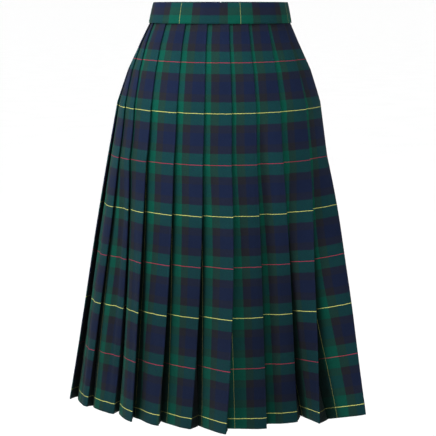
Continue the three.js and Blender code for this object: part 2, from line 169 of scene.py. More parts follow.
def make_object(
    name: str,
    points: list[tuple[float, float, float]],
    faces: list[tuple[int, ...]],
    maps: dict[str, list[tuple[float, float]]],
    material: bpy.types.Material,
) -> bpy.types.Object:
    """Make a smooth-shaded object from points in millimetres.

    Args:
        name: the object's name.
        points: its points.
        faces: its faces, as indices into the points.
        maps: for each texture map, one place for each point.
        material: its material.

    Returns:
        The object, linked to the scene, with points that share a place joined.
    """
    mesh = bpy.data.meshes.new(name)
    mesh.from_pydata((np.array(points) * MM).tolist(), [], faces)
    corners = np.empty(len(mesh.loops), dtype=np.int64)
    mesh.loops.foreach_get("vertex_index", corners)
    for title, places in maps.items():
        layer = mesh.uv_layers.new(name=title)
        layer.data.foreach_set("uv", np.array(places, dtype=np.float32)[corners].ravel())
    work = bmesh.new()
    work.from_mesh(mesh)
    bmesh.ops.remove_doubles(work, verts=work.verts, dist=1e-7)
    work.to_mesh(mesh)
    work.free()
    mesh.shade_smooth()
    mesh.materials.append(material)
    obj = bpy.data.objects.new(name, mesh)
    bpy.context.scene.collection.objects.link(obj)
    return obj


# ---------------------------------------------------------------- the body it hangs on
@dataclass(frozen=True)
class Section:
    """A level section of the body, by distance along the cloth below the waist seam."""

    at: float
    half_width: float
    front: float
    back: float
    side: float

    def place(self, angle: float, out: float) -> complex:
        """Find a place round the section.

        Args:
            angle: degrees from the centre front towards the wearer's left.
            out: distance out of the section.

        Returns:
            The place in plan.
        """
        sine, cosine = math.sin(math.radians(angle)), math.cos(math.radians(angle))
        depth = self.front if cosine > 0 else self.back
        normal = unit(complex(depth * sine, -self.half_width * cosine))
        return complex(self.side + self.half_width * sine, -depth * cosine) + normal * out

    def out_at(self, angle: float) -> complex:
        """Return the direction out of the section at an angle."""
        return self.place(angle, 1) - self.place(angle, 0)

    def angle_of(self, place: complex) -> float:
        """Find the angle at which a place lies round the section.

        Args:
            place: the place in plan.

        Returns:
            Degrees from the centre front, from -180 to 180.
        """
        depth = self.front if place.imag < 0 else self.back
        return math.degrees(
            math.atan2((place.real - self.side) / self.half_width, -place.imag / depth)
        )

    def arc(self, start: float, stop: float, parts: int = 4) -> float:
        """Return the distance round the section between two angles, as chords."""
        places = [self.place(mix(start, stop, i / parts), 0) for i in range(parts + 1)]
        return sum(abs(b - a) for a, b in zip(places, places[1:]))


@dataclass(frozen=True)
class Body:
    """The general figure that the skirt is filled out to, from waist to hem."""

    sections: tuple[Section, ...] = (
        Section(-36, 116, 92, 88, 0),
        Section(0, 123.5, 98, 94, -0.6),
        Section(40, 141, 110, 108, -1.8),
        Section(90, 161.5, 124, 128, -1.5),
        Section(150, 180, 137, 146, -2),
        Section(245, 195.5, 148, 160, -4),
        Section(400, 220.5, 156, 172, -5.5),
        Section(550, 244, 165, 184, -7),
        Section(700, 267, 173, 196, -7.5),
    )

    @lru_cache(maxsize=None)
    def section(self, at: float) -> Section:
        """Find the section at one distance along the cloth.

        Args:
            at: distance below the waist seam.

        Returns:
            The section there.
        """
        last = len(self.sections) - 1
        i = clamp(bisect_left([s.at for s in self.sections], at), 1, last)
        a, b = self.sections[i - 1], self.sections[i]
        share = (at - a.at) / (b.at - a.at)
        names = ("half_width", "front", "back", "side")
        return Section(at, *(mix(getattr(a, n), getattr(b, n), share) for n in names))


# ---------------------------------------------------------------- folds
@dataclass(frozen=True)
class Pleat:
    """An outer fold: its angle at three levels, how it stands at the hem, and its check.

    The shifts are how much further along the check than the other folds it is pressed,
    down to below the hip and then at the hem. The shade is how wide the painted shade
    beside its recess is, next to the other folds', and below 1 how dark too.
    """

    waist: float
    hip: float
    hem: float
    out: float
    depth: float
    bow: float
    shift_above: float = 0
    shift_hem: float = 0
    shade: float = 1


@dataclass(frozen=True)
class Unrolled:
    """A section rolled flat: the angles of the outer folds, and how far round they lie."""

    section: Section
    layer: float
    angles: list[float]
    rounds: list[float]

    def roll_up(self, flat: complex, layers: float) -> complex:
        """Roll a flat place up again.

        Args:
            flat: the place, by distance round and distance out.
            layers: how many layers of cloth it is moved in under.

        Returns:
            The place in plan.
        """
        i = int(clamp(bisect_left(self.rounds, flat.real), 1, len(self.rounds) - 1))
        share = (flat.real - self.rounds[i - 1]) / (self.rounds[i] - self.rounds[i - 1])
        angle = mix(self.angles[i - 1], self.angles[i], share)
        return self.section.place(angle, flat.imag - layers * self.layer)


@dataclass(frozen=True)
class Fold:
    """One pleat at one level, laid flat: its return and its panel.

    The return goes from the edge before to the inner fold, which lies back under it,
    and the panel from there to its own edge. The pitch is from one edge to the next.
    """

    level: Unrolled
    before: complex
    flat: complex
    edge: complex
    back: float
    under: float
    pitch: float

    @property
    def length(self) -> float:
        """Return how long the return is."""
        return abs(self.flat - self.before)

    @property
    def inner(self) -> complex:
        """Return the inner fold's place in plan."""
        return self.level.roll_up(self.flat, 1.5 + self.layers_at(self.back))

    @property
    def outer(self) -> complex:
        """Return the outer fold's place in plan."""
        return self.level.roll_up(self.edge, 0.5)

    def layers_at(self, distance: float) -> float:
        """Return how many layers lie over a place that far back under the edge before."""
        return 2 * max(distance, 0) / self.pitch

    def on_return(self, share: float) -> complex:
        """Return a place on the return, from the edge before (0) to the inner fold (1)."""
        flat = self.before + (self.flat - self.before) * share
        return self.level.roll_up(flat, 1 + self.layers_at(self.back * share))

    def on_panel(self, share: float) -> complex:
        """Find a place on the panel.

        Args:
            share: from the inner fold (0) to the panel's own edge (1).

        Returns:
            The place in plan, under the layers that cover it.
        """
        if share < self.under:
            layers = 2 + self.layers_at(self.back * (1 - share / self.under))
        else:
            layers = 2 * (1 - share) / (1 - self.under)
        return self.level.roll_up(self.flat + (self.edge - self.flat) * share, layers)


@dataclass(frozen=True)
class Pleating:
    """The lay of all the knife pleats, folded one way round the body.

    Levels are distances along the cloth below the waist seam. The pleats lie shut down
    to open_from, and the check runs as at the hip down to shifted_to.
    """

    body: Body = Body()
    repeat: float = 104
    length: float = 700
    hip: float = 245
    open_from: float = 130
    opening_curve: float = 0.75
    layer: float = 1.8
    least_turn: float = 0.12
    deepest: float = 0.93
    least_hidden: float = 6
    shifted_to: float = 330
    straight_from: float = 700
    past_turn: int = 4
    pleats: tuple[Pleat, ...] = (
        Pleat(-104, -85, -92.5, 2, 20, 3),
        Pleat(-87, -63.4, -74.5, -27, 12, 8),
        Pleat(-72.5, -52.6, -52.6, -43, 14, 10, -8, 8),
        Pleat(-50.2, -39.6, -36.6, -18, 15, 3, shade=0.5),
        Pleat(-29.4, -23.3, -23.8, -23, 30, 4, 0, 14),
        Pleat(-10.7, -8.1, -10, -14, 27, 5, 1, 0),
        Pleat(6.6, 6.4, 3.2, 24, 26, 6, 0, 8),
        Pleat(22.4, 19.7, 19.6, -12, 28, 2, -1.5, 0, shade=0.6),
        Pleat(40.6, 34.4, 35.6, -28, 24, 3, 2, 8, shade=1.9),
        Pleat(63.5, 54.5, 40.2, 18, 29, -5, 7.5, 0, shade=1.5),
        Pleat(82, 78, 54.5, 60, 34, -14, 11, -8, shade=2),
        Pleat(97, 97.5, 74.5, -2, 25, -2, 10, 0),
        Pleat(113.8, 114.5, 92, -8, 26, -4, shade=1.4),
        Pleat(129.5, 131, 112, 5, 22, 3),
        Pleat(144, 147, 131, -12, 25, 4, shade=0.7),
        Pleat(157.7, 162.5, 149, 4, 20, -3),
        Pleat(170.9, 177.5, 165.5, -13, 24, 4, shade=1.3),
        Pleat(183.9, 192.5, 181, 8, 26, 5),
        Pleat(197, 207.5, 197.2, -6, 22, -2),
        Pleat(210.5, 223, 213.6, 9, 24, 3, shade=0.6),
        Pleat(224.9, 239.5, 230.6, -11, 25, 4, shade=1.5),
        Pleat(240.3, 256.5, 249, 3, 23, -3),
    )

    def outer_fold(self, k: int, at: float) -> tuple[float, float]:
        """Place an outer fold.

        Args:
            k: the fold's number, counted on past one turn round the body.
            at: distance below the waist seam.

        Returns:
            Its angle, and how far it stands out of the section.
        """
        turns, row = divmod(k, len(self.pleats))
        pleat = self.pleats[row]
        out = 0.0
        if at <= self.hip:
            eased = 1 - (1 - clamp(at / self.hip, 0, 1)) ** 2
            angle = mix(pleat.waist, pleat.hip, eased)
        else:
            share = (at - self.hip) / (self.length - self.hip)
            bow = pleat.bow * 4 * share * (1 - share) / self.body.section(at).half_width
            angle = mix(pleat.hip, pleat.hem, share) + math.degrees(bow)
            out = pleat.out * share
        return angle + 360 * turns, out

    def opened(self, at: float) -> float:
        """Return how far the pleats have opened at one level, as a share of the hem's."""
        share = (at - self.open_from) / (self.length - self.open_from)
        return clamp(share, 0, 1) ** self.opening_curve

    def shift_of(self, k: int, at: float) -> float:
        """Find how much further along the check than the others a fold is pressed.

        Args:
            k: the fold's number.
            at: distance below the waist seam.

        Returns:
            The distance across the cloth.
        """
        pleat = self.pleats[k % len(self.pleats)]
        share = (at - self.shifted_to) / (self.straight_from - self.shifted_to)
        return mix(pleat.shift_above, pleat.shift_hem, smooth(share))

    def inner_fold(
        self, before: complex, edge: complex, depth: float, arriving: complex, turn: float
    ) -> tuple[complex, float]:
        """Place the fold that lies under two outer folds.

        The return and the next panel use up one repeat of cloth, so it lies on the
        ellipse round the two outer folds, so deep that the return clears its panel.

        Args:
            before: the outer fold that the return comes from.
            edge: the next outer fold.
            depth: how deep the inner fold goes at least.
            arriving: direction of the panel that ends in the fold before.
            turn: least angle between that panel and the return.

        Returns:
            The inner fold, and how far back it lies under the fold before.
        """
        chord = abs(edge - before)
        forward = (edge - before) / chord
        half = math.sqrt(self.repeat**2 - chord**2) / 2
        deep = min(depth, half * self.deepest)
        while True:
            back = self.repeat / 2 * math.sqrt(1 - (deep / half) ** 2) - chord / 2
            flat = before - forward * back - 1j * forward * deep
            leaving = (flat - before).conjugate() * arriving
            if math.atan2(leaving.imag, -leaving.real) >= turn or deep + 1 > half * self.deepest:
                return flat, back
            deep += 1

    @lru_cache(maxsize=None)
    def level(self, at: float) -> dict[int, Fold]:
        """Lay out all the pleats at one level.

        Places are worked out on the section rolled flat, and rolled up again with each
        layer of cloth on the next.

        Args:
            at: distance below the waist seam.

        Returns:
            The pleats by number, a few past one turn at each end.
        """
        size = self.body.section(at)
        opened = self.opened(at)
        count = len(self.pleats)
        numbers = range(-self.past_turn, count + self.past_turn)
        angles, flats = [], []
        for k in numbers:
            angle, out = self.outer_fold(k, at)
            along = flats[-1].real + size.arc(angles[-1], angle) if flats else 0.0
            angles.append(angle)
            flats.append(complex(along, out))
        unrolled = Unrolled(size, self.layer, angles, [flat.real for flat in flats])
        folds = {}
        arriving = complex(1, 0)
        for i in range(2, len(flats)):
            first, before, edge = flats[i - 2 : i + 1]
            k = numbers[i]
            depth = self.pleats[k % count].depth * opened
            flat, back = self.inner_fold(before, edge, depth, arriving, self.least_turn * opened)
            arriving = unit(edge - flat)
            hidden = max(back, self.least_hidden)
            under = hidden / (abs(edge - before) + hidden)
            folds[k] = Fold(unrolled, before, flat, edge, back, under, abs(before - first))
        return folds

    def stack_depth(self, cloth: float) -> float:
        """Find how far in the folded pleats reach at the waist seam.

        Args:
            cloth: thickness of the cloth.

        Returns:
            The distance from the section in to the innermost layer's wrong side.
        """
        size = self.body.section(0)
        reach = 0.0
        for k in range(len(self.pleats)):
            a, b, c = (self.outer_fold(k - i, 0)[0] for i in (2, 1, 0))
            reach = max(reach, (self.repeat - size.arc(b, c)) / 2 / size.arc(a, b))
        return 2 * self.layer * (1 + reach) + cloth / 2


@dataclass
class Falls:
    """How far the cloth falls: what it spends going outwards it loses in height."""

    pleating: Pleating
    step: float = 5
    turn: float = 5
    above: list[list[float]] = field(default_factory=list)
    below: dict[str, dict[int, list[float]]] = field(default_factory=dict)

    def __post_init__(self) -> None:
        """Add up the falls from the waist to the hip, and from the hip to the hem."""
        body, hip = self.pleating.body, self.pleating.hip
        for i in range(round(360 / self.turn) + 1):
            falls = [0.0]
            for n in range(1, round(hip / self.step) + 1):
                upper = body.section((n - 1) * self.step).place(i * self.turn, 0)
                lower = body.section(n * self.step).place(i * self.turn, 0)
                falls.append(falls[-1] + self._fall(upper, lower))
            self.above.append(falls)
        before = self.pleating.level(hip)
        keys = range(0, len(self.pleating.pleats) + 2)
        for kind in ("outer", "inner"):
            self.below[kind] = {k: [self.over_hip(hip, getattr(before[k], kind))] for k in keys}
        for n in range(1, round((self.pleating.length - hip) / self.step) + 1):
            level = self.pleating.level(hip + n * self.step)
            for kind in ("outer", "inner"):
                for k, falls in self.below[kind].items():
                    upper, lower = getattr(before[k], kind), getattr(level[k], kind)
                    falls.append(falls[-1] + self._fall(upper, lower))
            before = level

    def _fall(self, a: complex, b: complex) -> float:
        """Return the height lost over one step of cloth between two places."""
        return math.sqrt(max(self.step**2 - abs(b - a) ** 2, 0))

    def over_hip(self, at: float, place: complex) -> float:
        """Find the fall of a place above the hip, where all layers lie together.

        Args:
            at: distance below the waist seam, a whole number of steps.
            place: the place in plan.

        Returns:
            The height lost from the seam.
        """
        if at < 0:
            return at
        turns = self.pleating.body.section(at).angle_of(place) % 360 / self.turn
        i, n = int(turns), round(at / self.step)
        return mix(self.above[i][n], self.above[i + 1][n], turns - i)

    def at_fold(self, kind: str, k: int, at: float) -> float:
        """Return the fall of a fold line below the hip."""
        return self.below[kind][k][round((at - self.pleating.hip) / self.step)]


# ---------------------------------------------------------------- soft shape of the cloth
@dataclass(frozen=True)
class Wave:
    """A soft wave round the skirt: crests round it, slant down it, and height."""

    crests: float
    phase: float
    slant: float
    height: float

    def rise(self, angle: float, down: float = 0) -> float:
        """Return its height at an angle in degrees, a share of the way down."""
        turn = self.crests * math.radians(angle) + self.phase + self.slant * down
        return self.height * math.sin(turn)


@dataclass(frozen=True)
class Trough:
    """A soft crease: where it starts and stops, its width and depth.

    It begins and fades a share of its own length before its start and past its stop.
    """

    angle: float
    at: float
    to_angle: float
    to_at: float
    width: float
    depth: float
    begins: float = -0.2
    begins_by: float = 3
    fades: float = 1.3
    fades_by: float = 2

    def depth_at(self, angle: float, at: float, half_width: float) -> float:
        """Find how deep it is at one place.

        Args:
            angle: degrees round the body.
            at: distance below the waist seam.
            half_width: the body's there.

        Returns:
            Its depth.
        """
        down = (at - self.at) / (self.to_at - self.at)
        if not self.begins < down < self.fades:
            return 0.0
        away = (angle - mix(self.angle, self.to_angle, down) + 180) % 360 - 180
        across = math.radians(away) * half_width / self.width
        along = smooth((down - self.begins) * self.begins_by)
        along *= smooth((self.fades - down) * self.fades_by)
        return self.depth * math.exp(-across * across) * along


@dataclass(frozen=True)
class Drape:
    """Soft unevenness that all layers share, so that none cuts through the next."""

    body: Body = Body()
    starts: float = 110
    ends: float = 700
    waves: tuple[Wave, ...] = (
        Wave(5, 0.4, 1.8, 1.5),
        Wave(9, 2.1, -2.6, 1.2),
        Wave(14, 4.0, 4.4, 0.8),
        Wave(23, 1.2, -6.2, 0.5),
    )
    troughs: tuple[Trough, ...] = (
        Trough(24.5, 230, 26, 680, 14, 9),
        Trough(-57, 300, -63, 660, 14, 5.5),
        Trough(-44, 380, -40, 690, 12, 2.0),
        Trough(-17, 360, -16, 690, 11, -1.6),
        Trough(47, 330, 45, 680, 12, 2.4),
        Trough(-3, 420, -2, 690, 12, 1.8),
        Trough(104, 300, 92, 660, 15, 2.6),
        Trough(139, 340, 124, 690, 13, 2.2),
        Trough(171, 300, 158, 640, 14, 2.8),
        Trough(200, 380, 190, 700, 12, 2.0),
        Trough(231, 300, 220, 650, 15, 2.6),
        Trough(-78, 350, -82, 690, 13, 2.2),
    )

    def lift(self, angle: float, at: float) -> float:
        """Find how far the cloth stands out of its plain shape.

        Args:
            angle: degrees round the body.
            at: distance below the waist seam.

        Returns:
            The distance outwards, below zero in a trough.
        """
        share = clamp((at - self.starts) / (self.ends - self.starts), 0, 1)
        out = share * sum(wave.rise(angle, share) for wave in self.waves)
        half_width = self.body.section(at).half_width
        return out - sum(trough.depth_at(angle, at, half_width) for trough in self.troughs)


# ---------------------------------------------------------------- node trees
Socket = bpy.types.NodeSocket
Value = float | tuple[float, ...] | Socket


class Graph:
    """A material's node tree, written as sums."""

    def __init__(self, name: str) -> None:
        """Make a material with its principled shader.

        Args:
            name: the material's name.
        """
        self.material = bpy.data.materials.new(name)
        self.material.use_nodes = True
        self.tree = self.material.node_tree
        self.shader = self.tree.nodes["Principled BSDF"]

    def node(
        self, kind: str, values: dict[str | int, Value] | None = None, **settings: str
    ) -> bpy.types.Node:
        """Add a node.

        Args:
            kind: its type.
            values: values or sockets for its inputs, by name or number.
            settings: its own settings.

        Returns:
            The node.
        """
        node = self.tree.nodes.new(kind)
        for key, setting in settings.items():
            setattr(node, key, setting)
        for key, value in (values or {}).items():
            self.put(value, node.inputs[key])
        return node

    def put(self, value: Value, socket: Socket) -> None:
        """Link a socket to an input, or set the input's own value.

        Args:
            value: the socket or value.
            socket: the input.
        """
        if isinstance(value, Socket):
            self.tree.links.new(value, socket)
        else:
            socket.default_value = value

    def math(self, operation: str, *values: Value) -> Socket:
        """Return the result of one sum."""
        return self.node("ShaderNodeMath", dict(enumerate(values)), operation=operation).outputs[0]

    def times(self, *values: Value) -> Socket:
        """Return the product of some values."""
        return reduce(partial(self.math, "MULTIPLY"), values)

    def plus(self, *values: Value) -> Socket:
        """Return the sum of some values."""
        return reduce(partial(self.math, "ADD"), values)

    def minus(self, a: Value, b: Value) -> Socket:
        """Return the difference of two values."""
        return self.math("SUBTRACT", a, b)

    def ridges(self, value: Value, pitch: float) -> Socket:
        """Return round ridges of height one, one to a pitch."""
        return self.math("ABSOLUTE", self.math("SINE", self.times(value, math.pi / pitch)))

    def fit(self, value: Value, low: float, high: float, a: float = 0, b: float = 1) -> Socket:
        """Return a value carried from one range to another, smoothly, and kept in it."""
        inputs = {0: value, 1: low, 2: high, 3: a, 4: b}
        return self.node("ShaderNodeMapRange", inputs, interpolation_type="SMOOTHSTEP").outputs[0]

    def blend(self, share: Value, a: Value, b: Value, kind: str = "MIX") -> Socket:
        """Return two colours mixed."""
        inputs = {0: share, 6: a, 7: b}
        return self.node("ShaderNodeMix", inputs, data_type="RGBA", blend_type=kind).outputs[2]

    def map(self, name: str) -> tuple[Socket, Socket]:
        """Return the two coordinates of a texture map."""
        place = self.node("ShaderNodeUVMap", uv_map=name).outputs[0]
        return tuple(self.node("ShaderNodeSeparateXYZ", {0: place}).outputs[:2])

    def noise(self, scale: float, detail: float) -> Socket:
        """Add noise by place on the object.

        Args:
            scale: its scale, to a metre.
            detail: how many finer layers it has.

        Returns:
            The noise, from 0 to 1.
        """
        place = self.node("ShaderNodeTexCoord").outputs["Object"]
        inputs = {"Vector": place, "Scale": scale, "Detail": detail}
        return self.node("ShaderNodeTexNoise", inputs).outputs[0]

    def bump(
        self, height: Value, distance: float, strength: float, below: Value | None = None
    ) -> Socket:
        """Bump the normals.

        Args:
            height: the height to follow.
            distance: how far a height of one stands out, in metres.
            strength: how much of the bump shows.
            below: other bumped normals that it goes over.

        Returns:
            The normals.
        """
        inputs = {"Height": height, "Distance": distance, "Strength": strength}
        if below is not None:
            inputs["Normal"] = below
        return self.node("ShaderNodeBump", inputs).outputs[0]

    def finish(self, **values: Value) -> bpy.types.Material:
        """Finish the material.

        Args:
            values: the shader's inputs, by name with _ for each space.

        Returns:
            The material.
        """
        for key, value in values.items():
            self.put(value, self.shader.inputs[key.replace("_", " ")])
        return self.material


@dataclass(frozen=True)
class Tartan:
    """Twill tartan: bands mirrored about fine lines, across and down the cloth.

    Distances are in millimetres on the cloth map, whose first coordinate runs across
    the cloth and whose second runs down it. The wear and shade map has the distance
    from the fold edge, for wear, and how much shade is painted in the folds. The tones
    are what is left of the cloth's colour, and of its fine lines', under the shade painted deep in
    a fold and low on the skirt.
    """

    name: str
    across: float = 104
    down: float = 87.5
    line_across: float = 46.5
    line_down: float = 68.5
    half_line: float = 0.53
    half_warp_line: float = 0.34
    warp_line_cover: float = 0.62
    warp_bands: tuple[float, float] = (21.5, 35.5)
    weft_bands: tuple[float, float] = (19.5, 33)
    thread: float = 0.62
    warp_shows: tuple[float, float] = (0.2, 0.94)
    thick_weft: float = 0.3
    wobble: float = 1.1
    worn_edge: tuple[float, float] = (0.4, 3.2)
    worn_gain: float = 0.22
    painted_fold_shade_tone: float = 0.22
    painted_fold_shade_line_tone: float = 0.75
    # painted shade, darker towards the hem: where it starts and ends down the cloth, and how dark
    painted_hem_shade_span: tuple[float, float] = (40, 600)
    painted_hem_shade_tone: float = 0.6
    painted_hem_shade_line_tone: float = 0.9
    green: tuple[int, int, int] = (2, 71, 58)
    black: tuple[int, int, int] = (29, 30, 36)
    navy: tuple[int, int, int] = (17, 27, 53)
    yellow: tuple[int, int, int] = (205, 206, 112)
    red: tuple[int, int, int] = (158, 44, 64)

    def _bands(self, graph: Graph, distance: Value, bands: tuple[float, float]) -> Socket:
        """Colour the bands of one set of threads.

        Args:
            graph: the material's graph.
            distance: distance from the nearest fine line.
            bands: where green gives way to black, and black to navy.

        Returns:
            The threads' colour.
        """
        inside = graph.math("GREATER_THAN", distance, bands[0])
        beyond = graph.math("GREATER_THAN", distance, bands[1])
        ground = graph.blend(inside, linear(*self.green), linear(*self.black))
        return graph.blend(beyond, ground, linear(*self.navy))

    def material(self) -> bpy.types.Material:
        """Build the cloth's material.

        Returns:
            A material that reads the maps named cloth and press.
        """
        g = Graph(self.name)
        u, v = g.map("cloth")
        wobble = g.times(g.minus(g.noise(90, 1), 0.5), self.wobble)
        warp_at = g.math("PINGPONG", g.minus(g.plus(u, wobble), self.line_across), self.across / 2)
        weft_at = g.math("PINGPONG", g.minus(g.plus(v, wobble), self.line_down), self.down / 2)
        on_warp = g.math("LESS_THAN", warp_at, self.half_warp_line)
        on_weft = g.math("LESS_THAN", weft_at, self.half_line)
        i, j = g.math("DIVIDE", u, self.thread), g.math("DIVIDE", v, self.thread)
        rib = g.math("SINE", g.times(g.minus(i, j), math.pi / 2))

        warp = self._bands(g, warp_at, self.warp_bands)
        warp = g.blend(g.times(on_warp, self.warp_line_cover), warp, linear(*self.yellow))
        parity = g.math("PINGPONG", g.minus(v, self.line_down), self.down)
        second = g.math("GREATER_THAN", parity, self.down / 2)
        line = g.blend(second, linear(*self.red), linear(*self.yellow))
        weft = g.blend(on_weft, self._bands(g, weft_at, self.weft_bands), line)
        # two-and-two twill: on each diagonal the warp, then the weft, lies on top, and a
        # fine weft line's threads show more than the ground's, as they are thicker
        warp_up = g.fit(rib, -0.5, 0.5, *self.warp_shows)
        warp_up = g.minus(warp_up, g.times(on_weft, self.thick_weft))
        warp_up = g.math("MINIMUM", g.math("MAXIMUM", warp_up, 0.05), 0.97)
        cloth = g.blend(warp_up, weft, warp)
        # yarn hairs, dye and wear, and painted shade in the folds and towards the hem
        cloth = g.blend(1.0, cloth, self._dye_wear_and_painted_shade(g, v, on_warp, on_weft), "MULTIPLY")

        # each thread is round, over the cloth's own cockle
        threads = g.times(g.plus(g.ridges(i, 1), g.ridges(j, 1)), 0.3)
        fuzz = g.noise(900, 3)
        normal = g.bump(g.noise(38, 4), 0.0022, 0.35)
        normal = g.bump(g.plus(threads, g.times(rib, 0.5), fuzz), 0.00022, 0.55, normal)
        roughness = g.fit(fuzz, 0.3, 0.7, 0.82, 0.95)
        g.shader.inputs["Sheen Weight"].default_value = 0.04
        g.shader.inputs["Sheen Roughness"].default_value = 0.45
        g.shader.inputs["Sheen Tint"].default_value = linear(150, 170, 175)
        g.shader.inputs["Specular IOR Level"].default_value = 0.08
        return g.finish(Base_Color=cloth, Roughness=roughness, Normal=normal)

    def _dye_wear_and_painted_shade(self, g: Graph, v: Socket, on_warp: Socket, on_weft: Socket) -> Socket:
        """Shade the cloth: yarn hairs, uneven dye, worn edges, and painted shade in the folds and
        towards the hem.

        Args:
            g: the material's graph.
            v: distance down the cloth.
            on_warp: one on a fine warp line, and zero elsewhere.
            on_weft: one on a fine weft line, and zero elsewhere.

        Returns:
            A grey to multiply the cloth's colour by.
        """
        fleck = g.fit(g.noise(1700, 2), 0.3, 0.7, 0.86, 1.14)
        slow = g.fit(g.noise(14, 3), 0.25, 0.75, 0.93, 1.07)
        # distance from the fold edge, for wear, and the share of painted shade in the folds
        from_fold, hidden = g.map("wear_and_shade")
        worn = g.fit(g.math("ABSOLUTE", from_fold), *self.worn_edge, 1, 0)
        uneven = g.fit(g.noise(70, 3), 0.35, 0.7)
        paler = g.plus(1, g.times(worn, uneven, self.worn_gain))
        # painted shade deep in the folds and recesses; the fine warp lines keep more of their
        # colour
        deep = g.fit(hidden, 0, 1, 1, self.painted_fold_shade_tone)
        deep = g.math("MAXIMUM", deep, g.times(on_warp, self.painted_fold_shade_line_tone))
        # painted shade, darker towards the hem; the fine weft lines stay lighter
        low = g.fit(v, *self.painted_hem_shade_span, 1, self.painted_hem_shade_tone)
        low = g.math("MAXIMUM", low, g.times(on_weft, self.painted_hem_shade_line_tone))
        shade = g.times(fleck, slow, paler, deep, low)
        return g.node("ShaderNodeCombineColor", {0: shade, 1: shade, 2: shade}).outputs[0]


@dataclass(frozen=True)
class Tape:
    """Woven zip tape: dark ribs down it and a line of stitches by each edge."""

    name: str = "zip_tape_weave"
    colour: tuple[int, int, int] = (30, 35, 52)
    stitch: tuple[int, int, int] = (52, 58, 80)
    stitch_line: float = 7.6
    stitch_pitch: float = 2.6
    stitch_share: float = 0.72
    rib_pitch: float = 0.8
    pick_pitch: float = 0.45

    def material(self) -> bpy.types.Material:
        """Build the tape's material.

        Returns:
            A material that reads the map named cloth, across and down the tape.
        """
        g = Graph(self.name)
        u, v = g.map("cloth")
        ribs, picks = g.ridges(u, self.rib_pitch), g.ridges(v, self.pick_pitch)
        away = g.math("ABSOLUTE", g.minus(g.math("ABSOLUTE", u), self.stitch_line))
        along = g.math("FRACT", g.math("DIVIDE", v, self.stitch_pitch))
        dash = g.math("LESS_THAN", along, self.stitch_share)
        sewn = g.times(g.fit(away, 0.2, 0.4, 1, 0), dash)
        uneven = g.fit(g.noise(300, 3), 0.3, 0.7, 0, 0.25)
        ground = g.blend(uneven, linear(*self.colour), linear(*self.stitch))
        colour = g.blend(sewn, ground, linear(*self.stitch))
        height = g.plus(ribs, g.times(picks, 0.5), g.times(sewn, 1.5))
        normal = g.bump(height, 0.0002, 0.7)
        rough = g.fit(ribs, 0, 1, 0.9, 0.7)
        return g.finish(Base_Color=colour, Roughness=rough, Normal=normal)


@dataclass(frozen=True)
class Enamel:
    """Dark enamelled metal, brushed bright where it rubs."""

    name: str = "zip_enamel"
    colour: tuple[int, int, int] = (44, 50, 68)
    bare: tuple[int, int, int] = (150, 150, 152)

    def material(self) -> bpy.types.Material:
        """Build the metal's material.

        Returns:
            A material that wears along edges.
        """
        g = Graph(self.name)
        point = g.node("ShaderNodeNewGeometry").outputs["Pointiness"]
        scratches = g.noise(2600, 4)
        edge = g.times(g.fit(point, 0.52, 0.6), g.fit(scratches, 0.35, 0.6))
        colour = g.blend(edge, linear(*self.colour), linear(*self.bare))
        rough = g.fit(scratches, 0.3, 0.7, 0.28, 0.46)
        normal = g.bump(scratches, 0.00004, 0.5)
        return g.finish(Base_Color=colour, Roughness=rough, Metallic=0.75, Normal=normal)


# ---------------------------------------------------------------- pleated cloth
@dataclass
class Column:
    """One column of a pleated row, with its two faces on either side of its place.

    Both are moved out by grow, a fold's radius, which is below zero in an inner fold.
    The last three values go to its maps: how far across the cloth it lies, how far
    from the outer fold, and how much shade is painted on it.
    """

    place: complex
    normal: complex
    fallen: float
    grow: float
    across: float
    from_fold: float
    hidden: float


